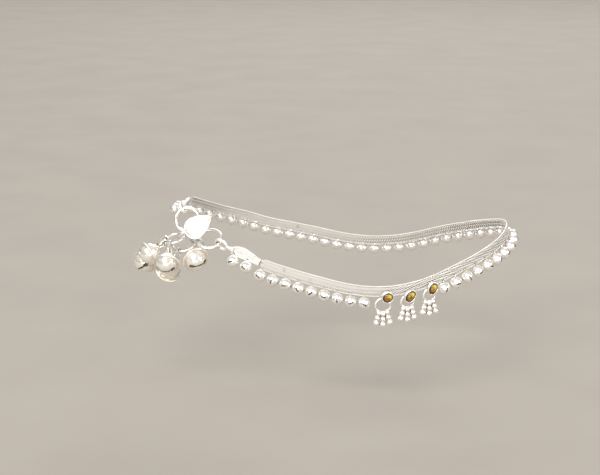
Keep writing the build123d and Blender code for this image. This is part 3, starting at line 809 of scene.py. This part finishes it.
def cap_trim(name, cap, side, ring_middle, ring_facing, ring_wire):
    """Raised wire along the cap's edges, grains down its middle, and a neck that leads to its bail."""
    face = side * (CAP_THICK / 2 + CAP_LIFT)
    start_height, rise = CAP_BOTTOM_EDGE
    ends = CAP_TOP_EDGE[0][0], CAP_TOP_EDGE[-1][0]
    bottom = [(x, start_height + rise * (x + CAP_LENGTH)) for x in np.linspace(*ends, 24)]
    shape = Shape()
    shape.add(tube([cap.at(x, y, face) for x, y in smooth_line(CAP_TOP_EDGE, 10)], CAP_TOP_WIRE, 10))
    shape.add(tube([cap.at(x, y, face) for x, y in bottom], CAP_BOTTOM_WIRE, 10))
    for k in range(CAP_GRAINS):
        x = CAP_GRAIN_START + CAP_GRAIN_PITCH * k
        height = 0.28 + 0.38 * math.sin(math.pi * (x + CAP_LENGTH) / 9.5)
        radius = 0.30 + 0.06 * math.sin(math.pi * k / (CAP_GRAINS - 1))
        shape.add(ball(cap.at(x, height, face - side * 0.08), radius, 8, 14))
    neck = cap.at(-CAP_LENGTH, 0)
    on_ring = ring_middle + square_to(neck - ring_middle, ring_facing) * RING_RADIUS
    away = unit(neck - on_ring)
    bail_end = on_ring + away * (2 * BAIL_LENGTH - ring_wire - LINK_GAP - 0.25)
    start = cap.at(0.7 - CAP_LENGTH, 0)
    line = np.array([start + (bail_end - start) * t for t in np.linspace(0, 1, 9)])
    thin, gain = NECK_THICKNESS
    shape.add(tube(line, thin + gain * np.linspace(1, 0, 9) ** 1.5, 20))
    shape.add(wire_ring(any_frame(line[4], away), *BAIL_COLLAR, 8, 30))
    shape.make(name, cap_silver, "silver")


# --- drops ---

def ball_template():
    """Hollow ball with a slot facing z."""
    outer = lathe(sphere_profile(BALL_RADIUS, 26), 44)
    inner = turned_over(lathe(sphere_profile(BALL_RADIUS - BALL_SHELL, 14), 24))
    upright = np.array([[1, 0, 0], [0, 0, 1], [0, -1, 0]])
    parts = [(outer[0] @ upright, outer[1]), (inner[0] @ upright, inner[1])]
    return cut_out(parts, prism(capsule(SLOT_LENGTH, SLOT_WIDTH), 0.6, BALL_RADIUS + 0.5))


def drop_parts(hole, out, index):
    """A drop hung plumb from its hole: ball, seam, soldered ring and the solder at its foot."""
    down = square_to(DOWN, out)
    hung = Frame(hole, out, np.cross(out, down))
    turn = SLOT_TURNS[index % len(SLOT_TURNS)]
    middle = Frame(hung.at(0, -HANG, STAND_OFF), hung.z, hung.x)
    parts = [moved(spun(BALL_TEMPLATE, turn), middle)]
    parts.append(wire_ring(middle, BALL_RADIUS - 0.01, SEAM_WIRE, 6, 44))
    neck = Frame(hung.at(0, -NECK_RADIUS, 0), hung.x, hung.y)
    parts.append(wire_ring(neck, NECK_RADIUS, NECK_WIRE, 8, 26))
    toward = unit(hung.at(0, -2 * NECK_RADIUS, 0.1) - middle.o)
    foot = any_frame(middle.o + toward * (BALL_RADIUS + 0.02), toward)
    parts.append(wire_ring(foot, *FOOT_RING, 6, 14))
    return parts


def strap_drop(index, distance):
    plane = strap_frame(distance)
    return drop_parts(plane.at(0, HOLE_HEIGHT - STRAP_WIDTH / 2), plane.z, index)


def make_drops(name, node, groups):
    shape = Shape()
    for parts in groups:
        for part in parts:
            shape.add(part)
    shape.make(name, ball_silver, "drop_silver", [node], sharp=38)


def build_drops():
    near, far = near_cap_frame(), far_cap_frame()
    for number, (x, y) in enumerate(CAP_HOLES):
        for name, cap, out in (("near", near, near.z), ("far", far, -far.z)):
            node = f"drop_cap_{name}_{number + 1}"
            make_drops("ball_" + node, node, [drop_parts(cap.at(x, y), out, number)])
    single = NEAR_DROPS + HEEL_DROPS + FAR_DROPS[:FAR_SINGLE]
    for number, distance in enumerate(single, 1):
        node = f"drop_{number:02d}"
        make_drops("ball_" + node, node, [strap_drop(number, distance)])
    rest = FAR_DROPS[FAR_SINGLE:]
    for number in range(len(rest) // ROW_LENGTH):
        row = rest[number * ROW_LENGTH:(number + 1) * ROW_LENGTH]
        node = f"drop_row_{number + 1}"
        make_drops("ball_" + node, node, [strap_drop(number + i, d) for i, d in enumerate(row)])


# --- stones and charms ---

def bezel_frame(distance, shift, below, tilt):
    plane = strap_frame(distance)
    middle = plane.at(shift, -STRAP_WIDTH / 2 - below, BEZEL_BACK)
    return Frame(middle, plane.z, turned(plane.x, plane.y, tilt))


def ellipse_points(plane, a, b, z, count=48):
    turns = 2 * np.pi * np.arange(count) / count
    return plane.map(np.stack([a * np.cos(turns), b * np.sin(turns), 0 * turns + z], 1))


def build_stone(number, distance, shift, below, length, width, tilt, *_):
    """The bezel's rolled bright edge, and the domed stone in it."""
    seat = bezel_frame(distance, shift, below, tilt)
    top = BEZEL_PLATE + BEZEL_HEIGHT
    rim = Shape()
    for wall, height, wire, sides in (
            (RIM_ROLL, top, RIM_ROLL, 10), (BEZEL_WALL, RIM_FOOT_HEIGHT, RIM_FOOT_WIRE, 8)):
        oval = ellipse_points(seat, length / 2 + wall, width / 2 + wall, height)
        rim.add(tube(oval, wire, sides, closed=True))
    rim.make(f"bezel_rim_{number}", plain_silver, "silver")
    a, b = length / 2 - STONE_GAP, width / 2 - STONE_GAP
    count = 56
    levels = [(1.0, 0.05), (1.0, BEZEL_HEIGHT - 0.12)]
    for t in np.linspace(0.05, 1.5, 16):
        levels.append((math.cos(t), BEZEL_HEIGHT - 0.05 + STONE_DOME * math.sin(t)))
    base = BEZEL_PLATE + STONE_GAP
    tips = [[seat.at(0, 0, base + levels[-1][1] + 0.002)], [seat.at(0, 0, base + 0.05)]]
    points = np.concatenate([ellipse_points(seat, a * k, b * k, base + z, count) for k, z in levels] + tips)
    stone = Shape().add((points, tipped_grid_faces(len(levels), count)))
    stone = stone.make(f"amber_stone_{number}", amber_glass, "stone", [f"stone_{number}"])
    # The edge value grows towards the stone's rim, where the material paints dark shade.
    edge = stone.data.attributes.new("edge", "FLOAT", "POINT")
    side = stone.data.attributes.new("side", "FLOAT", "POINT")
    spread = [k for k, _ in levels for _ in range(count)] + [0.0, 1.0]
    edge.data.foreach_set("value", spread)
    # The side value measures how far each point lies towards a fixed light direction; the material paints a
    # highlight there and shade on the far side.
    away = (points - seat.at(0, 0, base)) / (length / 2)
    light = unit(vec(0.75, -0.1, 0.65))
    side.data.foreach_set("value", (away @ light).tolist())


def build_charm(number, distance, *sizes):
    """Wire arch soldered to three columns of grains, with a solder collar between grains."""
    arch_width, arch_height = sizes[-2:]
    plane = strap_frame(distance)
    top = plane.at(0, -STRAP_WIDTH / 2 - ARCH_TOP, BEZEL_BACK - ARCH_PLAY - ARCH_WIRE)
    down = square_to(DOWN, plane.z)
    hung = Frame(top, plane.z, np.cross(plane.z, down))
    half_width = arch_width / 2 - ARCH_WIRE
    half_height = arch_height / 2 + 0.3
    turns = 2 * np.pi * np.arange(64) / 64
    heights = -half_height + half_height * np.cos(turns)
    oval = hung.map(np.stack([half_width * np.sin(turns), heights, 0 * turns], 1))
    shape = Shape().add(tube(oval, ARCH_WIRE + ARCH_WORN, 12, closed=True))
    for (start, lean), lower in zip(GRAIN_FANS, GRAIN_DROP):
        step = vec(math.sin(math.radians(lean)), -math.cos(math.radians(lean)), 0) * GRAIN_PITCH
        first = vec(start * GRAIN_CLOSE, -arch_height - GRAIN_SINK - lower, 0)
        spots = [first + step * row for row in range(len(GRAIN_SIZES))]
        for spot, size in zip(spots, GRAIN_SIZES):
            shape.add(ball(hung.at(*spot), GRAIN_RADIUS * size, 18, 28))
        for a, b in zip(spots, spots[1:]):
            collar = any_frame(hung.at(*((a + b) / 2)), hung.at(*b) - hung.at(*a))
            shape.add(wire_ring(collar, *GRAIN_COLLAR, 8, 24))
    shape.make(f"grain_charm_{number}", ball_silver, "drop_silver", [f"charm_{number}"], sharp=60)


# --- clasp ---

def arc_points(a, b, c, count):
    """Points of the arc from a through b to c."""
    (ax, ay), (bx, by), (cx, cy) = a, b, c
    d = 2 * (ax * (by - cy) + bx * (cy - ay) + cx * (ay - by))
    ux = ((ax**2 + ay**2) * (by - cy) + (bx**2 + by**2) * (cy - ay) + (cx**2 + cy**2) * (ay - by)) / d
    uy = ((ax**2 + ay**2) * (cx - bx) + (bx**2 + by**2) * (ax - cx) + (cx**2 + cy**2) * (bx - ax)) / d
    radius = math.hypot(ax - ux, ay - uy)
    start, mid, end = (math.atan2(y - uy, x - ux) for x, y in (a, b, c))
    sweep = (end - start) % (2 * math.pi)
    if (mid - start) % (2 * math.pi) > sweep:
        sweep -= 2 * math.pi
    turns = [start + sweep * k / count for k in range(count)]
    return [(ux + radius * math.cos(turn), uy + radius * math.sin(turn)) for turn in turns]


def leaf_face():
    """Domed leaf with a raised border and a shallow midrib; flat at the back."""
    outline = np.array([point for arc in LEAF_ARCS for point in arc_points(*arc)])
    middle = np.array(LEAF_CENTRE)
    half = LEAF_THICK / 2
    dome = half + LEAF_PAD
    inner, lift = LEAF_BORDER[-1]
    levels = [(0.97, -half), (1.0, -half + 0.1)] + [(scale, half + height) for scale, height in LEAF_BORDER]
    for scale in np.linspace(0.74, 0.06, 10):
        levels.append((scale, half + lift + (dome - half - 0.10) * (1 - (scale / inner) ** 2)))
    points = []
    for scale, height in levels:
        for x, y in middle + (outline - middle) * scale:
            ribbed = scale < 0.8 and x > LEAF_RIB_START
            rib = LEAF_RIB_HEIGHT * math.exp(-(y / LEAF_RIB_WIDTH) ** 2) if ribbed else 0.0
            points.append((x, y, height + rib))
    points += [(*LEAF_CENTRE, dome + 0.02), (*LEAF_CENTRE, -half)]
    return np.array(points), tipped_grid_faces(len(levels), len(outline))


def gather_frame(middle, side, facing):
    return Frame(middle, square_to(facing, side), side)


UPPER_FRAME = gather_frame(UPPER_RING, UPPER_RING_SIDE, UPPER_RING_FACING)
LOWER_FRAME = gather_frame(LOWER_RING, -np.cross(LOWER_RING_FACING, vec(0, 1, 0)), LOWER_RING_FACING)
GATHER_RINGS = {"upper": (UPPER_FRAME, UPPER_RING_RADIUS), "lower": (LOWER_FRAME, LOWER_RING_RADIUS)}


def build_leaf():
    plane = Frame(LEAF_MIDDLE, LEAF_FACING, LEAF_AXIS)
    shape = Shape().add(moved(leaf_face(), plane))
    outward = square_to(EYE_OUTWARD, NEAR_RING_FACING)
    eye = any_frame(EYE_MIDDLE, np.cross(NEAR_RING_FACING, outward))
    shape.add(wire_ring(eye, EYE_RADIUS, EYE_WIRE))
    eye_top = EYE_MIDDLE + unit(NEAR_RING_FACING) * EYE_RADIUS
    shape.add(bar(eye_top, plane.at(*EYE_STEM_FOOT), EYE_WIRE))
    base_eye = any_frame(UPPER_FRAME.at(UPPER_RING_RADIUS, 0) + BASE_EYE_SHIFT, UPPER_FRAME.y)
    shape.add(wire_ring(base_eye, BASE_EYE_RADIUS, BASE_EYE_WIRE, 12, 36))
    hook_out = square_to(HOOK_OUTWARD, FAR_RING_FACING)
    spot = FAR_RING + hook_out * RING_RADIUS
    hook_facing = unit(np.cross(FAR_RING_FACING, hook_out))
    to_leaf = square_to(plane.z, hook_facing)
    hook = Frame(spot, hook_facing, hook_out)
    toward = hook_out - to_leaf
    opening = math.degrees(math.atan2(np.dot(toward, hook.y), np.dot(toward, hook.x)))
    mouth, sweep = HOOK_MOUTH
    shape.add(tube(circle(hook, HOOK_RADIUS, opening + mouth, sweep, 40), HOOK_WIRE, 12))
    root = spot + to_leaf * HOOK_RADIUS
    depth = np.dot(root - plane.o, plane.z)
    shape.add(bar(root, root - plane.z * depth, HOOK_WIRE + 0.05))
    shape.make("leaf_clasp", satin_silver, "silver", ["leaf_hook"], sharp=42)


def build_rings():
    rings = [
        ("ring_near", any_frame(NEAR_RING, NEAR_RING_FACING), RING_RADIUS, NEAR_RING_WIRE, 200),
        ("ring_far", any_frame(FAR_RING, FAR_RING_FACING), RING_RADIUS, FAR_RING_WIRE, 150),
        ("gather_ring_upper", UPPER_FRAME, UPPER_RING_RADIUS, GATHER_WIRE, 60),
        ("gather_ring_lower", LOWER_FRAME, LOWER_RING_RADIUS, GATHER_WIRE, 250),
    ]
    for node, plane, radius, wire, cut in rings:
        shape = Shape().add(wire_ring(plane, radius, wire, 20, 84, cut))
        shape.make("wire_" + node, plain_silver, "silver", [node], sharp=50)


# --- bells ---

def cup_profile(start, end, ridges):
    """The outside of a bell's cup between two angles from its top, with ridges on it."""
    profile = []
    for lat in np.linspace(start, end, 30):
        r = BELL_RADIUS
        for place, spread, height in ridges:
            r += height * math.exp(-((lat - place) / spread) ** 2)
        profile.append((r * math.sin(math.radians(lat)), r * math.cos(math.radians(lat))))
    return profile


def bell_template():
    """Two cups joined by a flange with a rolled rim; ridges on the cups; slot below."""
    profile = cup_profile(0, 84, BELL_UPPER_RIDGES) + BELL_WEB
    for turn in np.radians(np.linspace(145, -145, 18)):
        profile.append((RIM_RADIUS + RIM_WIRE * math.cos(turn), RIM_WIRE * math.sin(turn)))
    profile += [(r, -z) for r, z in reversed(BELL_WEB)]
    profile += cup_profile(96, 180, BELL_LOWER_RIDGES)
    profile[0] = (0.0, BELL_RADIUS)
    profile[-1] = (0.0, -BELL_RADIUS)
    outer = lathe(profile, 72)
    inner = turned_over(lathe(sphere_profile(BELL_RADIUS - BELL_SHELL, 22), 40))
    slot = prism(dumbbell(BELL_SLOT, BELL_SLOT_WIDTH, BELL_SLOT_END), -2 * BELL_RADIUS, -BELL_SLOT_SHIFT)
    return cut_out([outer, inner], slot)


def nearest_on_ring(ring_name, point):
    plane, radius = GATHER_RINGS[ring_name]
    turn = math.atan2(np.dot(point - plane.o, plane.y), np.dot(point - plane.o, plane.x))
    spot = plane.at(radius * math.cos(turn), radius * math.sin(turn))
    return spot, plane.y * math.cos(turn) - plane.x * math.sin(turn)


def link_ring(first, second, first_wire, second_wire, facing):
    """Jump ring: an oval of wire round two other wires."""
    along = unit(second - first)
    start = first - along * (first_wire + LINK_WIRE + LINK_GAP)
    end = second + along * (second_wire + LINK_WIRE + LINK_GAP)
    half_length = max(np.linalg.norm(end - start) / 2, LINK_WIDTH + LINK_STRAIGHT)
    plane = Frame((start + end) * 0.5, square_to(facing, along), along)
    reach = half_length - LINK_WIDTH
    points = []
    for side, begin in ((1, -90), (-1, 90)):
        for k in range(17):
            turn = math.radians(begin + 180 * k / 16)
            points.append(plane.at(side * reach + LINK_WIDTH * math.cos(turn), LINK_WIDTH * math.sin(turn)))
        for k in range(1, 4):
            points.append(plane.at(side * reach * (1 - k / 2), side * LINK_WIDTH))
    return tube(points, LINK_WIRE, 12, closed=True)


def build_bells():
    link_count = 0
    for number, (middle, crown, ring_name, turns, slot_along) in enumerate(BELLS, 1):
        middle = vec(*middle)
        crown = unit(vec(*crown) if crown else nearest_on_ring(ring_name, middle)[0] - middle)
        loop_top = middle + crown * (BELL_RADIUS + 2 * CROWN_RADIUS)
        hold, tangent = nearest_on_ring(ring_name, loop_top)
        reach = loop_top - hold
        first = square_to(tangent, reach)
        second = np.cross(unit(reach), first)
        facings = [turned(first, second, turn) for turn in turns]
        if len(turns) == 1:
            links = [link_ring(hold, loop_top, GATHER_WIRE, CROWN_WIRE, facings[0])]
        else:
            halfway = hold + reach * 0.5
            hooked = halfway + unit(reach) * (2 * LINK_WIRE + LINK_GAP)
            links = [link_ring(hold, halfway, GATHER_WIRE, LINK_WIRE, facings[0]),
                     link_ring(hooked, loop_top, LINK_WIRE, CROWN_WIRE, facings[1])]
        crown_facing = square_to(np.cross(crown, facings[-1]), crown)
        hung = Frame(middle, crown, vec(*slot_along))
        shape = Shape().add(moved(BELL_TEMPLATE, hung))
        loop = any_frame(middle + crown * (BELL_RADIUS + CROWN_RADIUS), crown_facing)
        shape.add(wire_ring(loop, CROWN_RADIUS, CROWN_WIRE, 12, 32))
        collar = any_frame(middle + crown * (BELL_RADIUS + 0.02), crown)
        shape.add(wire_ring(collar, *BELL_COLLAR, 8, 30))
        shoulder = any_frame(middle + crown * (BELL_RADIUS - 0.42), crown)
        shape.add(wire_ring(shoulder, *BELL_SHOULDER, 8, 48))
        shape.make(f"flanged_bell_{number}", shell_silver, "bell_silver", [f"bell_{number}"], sharp=35)
        for made in links:
            link_count += 1
            node = f"bell_link_{link_count}"
            Shape().add(made).make("wire_" + node, plain_silver, "silver", [node], sharp=60)


# --- stage: from here on, lengths in metres ---

FLOOR_DROP = 0.029         # from the anklet's lowest point to the floor: it is held up as on an ankle
FLOOR_HALF = 9.0
FLOOR_FLAT = 5.0           # the floor curves up into a wall behind this
FLOOR_BEND = 1.5
WALL_TOP = 2.2
DAYLIGHT = (1.0, 0.985, 0.96)
SKY = [
    (0.0, (0.07, 0.065, 0.06)), (0.24, (0.09, 0.085, 0.08)), (0.36, (0.55, 0.54, 0.53)), (0.75, WHITE),
]
SKY_STRENGTH = 0.47
LIGHTS = [                 # name, place, what it faces, size, power, colour, spread
    ("key", (-0.60, -1.10, 1.35), (-0.01, 0, 0), (1.35, 1.0), 14.0, DAYLIGHT, 140),
    ("fill", (1.40, -0.90, 0.65), (0, 0, 0), (1.25, 1.0), 6.6, (1.0, 0.97, 0.93), 140),
    ("low_card", (-0.06, -1.30, 0.10), (-0.01, 0, 0), (2.2, 0.26), 1.6, (1.0, 0.99, 0.975), 70),
    ("rim", (0.25, 1.50, 1.15), (0, 0, 0), (1.5, 0.75), 8.5, (1, 1, 1), 140),
    ("back_wash", (0.0, 2.3, 1.0), (0.001, 2.3, 0), (4.0, 1.8), 10.0, DAYLIGHT, 140),
]
SUN_FROM = (-0.35, -0.80, 0.80)
SUN_POWER = 1.25
SUN_ANGLE = 40
CAMERA_LENS = 72.04
CAMERA_SENSOR = 36.0
CAMERA_ELEVATION = 16
CAMERA_TARGET = (-16.09, 0, 2.73)     # millimetres, as is the distance
CAMERA_DISTANCE = 420


def set_place(thing, plane):
    rows = np.array([plane.x, plane.y, plane.z, plane.o]).T.tolist()
    thing.matrix_world = Matrix([*rows, (0, 0, 0, 1)])
    bpy.context.scene.collection.objects.link(thing)


def area_light(name, place, toward, size, power, colour, spread):
    data = bpy.data.lights.new(name, "AREA")
    data.shape = "RECTANGLE"
    data.size, data.size_y = size
    data.energy = power
    data.spread = math.radians(spread)
    data.color = colour
    light = bpy.data.objects.new(name, data)
    light.visible_camera = False
    set_place(light, any_frame(vec(*place), vec(*place) - vec(*toward)))


def build_floor():
    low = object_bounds()[0][2] - FLOOR_DROP
    mesh = bpy.data.meshes.new("studio_floor")
    profile = [(-FLOOR_HALF, 0.0), (FLOOR_FLAT, 0.0)]
    for t in np.linspace(0, math.pi / 2, 17)[1:]:
        profile.append((FLOOR_FLAT + FLOOR_BEND * math.sin(t), FLOOR_BEND * (1 - math.cos(t))))
    profile.append((FLOOR_FLAT + FLOOR_BEND, WALL_TOP))
    points = [(x, y, low + z) for y, z in profile for x in (-FLOOR_HALF, FLOOR_HALF)]
    mesh.from_pydata(points, [], [(2 * k, 2 * k + 1, 2 * k + 3, 2 * k + 2) for k in range(len(profile) - 1)])
    mesh.shade_smooth()
    mesh.materials.append(floor_paint("studio_floor"))
    floor = bpy.data.objects.new("studio_floor", mesh)
    bpy.context.scene.collection.objects.link(floor)


def build_sky():
    """Light from above, and a dark horizon that draws the silver's edges."""
    world = bpy.data.worlds.new("studio")
    world.use_nodes = True
    bpy.context.scene.world = world
    tree = world.node_tree
    background = tree.nodes["Background"]
    coords = joined(tree, "ShaderNodeTexCoord")
    split = joined(tree, "ShaderNodeSeparateXYZ")
    tree.links.new(coords.outputs["Generated"], split.inputs["Vector"])
    height = span(tree, split.outputs["Z"], -0.2, 1.0, 0.0, 1.0)
    tree.links.new(ramp(tree, height, SKY), background.inputs["Color"])
    background.inputs["Strength"].default_value = SKY_STRENGTH


def build_sun():
    """Even soft light over the whole floor, so that it has no dark far end."""
    data = bpy.data.lights.new("sun", "SUN")
    data.energy = SUN_POWER
    data.angle = math.radians(SUN_ANGLE)
    data.color = DAYLIGHT
    way = any_frame(vec(0, 0, 0), vec(*SUN_FROM))
    way.o = vec(0, 0, 1)
    set_place(bpy.data.objects.new("sun", data), way)


def build_camera():
    data = bpy.data.cameras.new("camera")
    data.lens = CAMERA_LENS
    data.sensor_width = CAMERA_SENSOR
    data.clip_start = 0.01
    elevation = math.radians(CAMERA_ELEVATION)
    back = vec(0, -math.cos(elevation), math.sin(elevation))
    place = (vec(*CAMERA_TARGET) + back * CAMERA_DISTANCE) * MM
    camera = bpy.data.objects.new("camera", data)
    set_place(camera, Frame(place, back, vec(1, 0, 0)))
    bpy.context.scene.camera = camera


def dress_kept_nodes():
    """Materials for the CAD nodes that stay."""
    kept = {"end_cap_near": cap_silver, "end_cap_far": cap_silver}
    kept.update({f"setting_{number}": plain_silver for number in (1, 2, 3)})
    for node, material in kept.items():
        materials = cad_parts[node].data.materials
        materials.clear()
        materials.append(material)


BALL_TEMPLATE = ball_template()
BELL_TEMPLATE = bell_template()
build_strap()
build_drops()
cap_trim("end_cap_near_trim", near_cap_frame(), 1, NEAR_RING, NEAR_RING_FACING, NEAR_RING_WIRE)
cap_trim("end_cap_far_trim", far_cap_frame(), -1, FAR_RING, FAR_RING_FACING, FAR_RING_WIRE)
for charm_number, charm_row in enumerate(CHARMS, 1):
    build_stone(charm_number, *charm_row)
    build_charm(charm_number, *charm_row)
build_leaf()
build_rings()
build_bells()
dress_kept_nodes()
build_floor()
build_sky()
for light_row in LIGHTS:
    area_light(*light_row)
build_sun()
build_camera()
bpy.context.scene.view_settings.view_transform = "Standard"
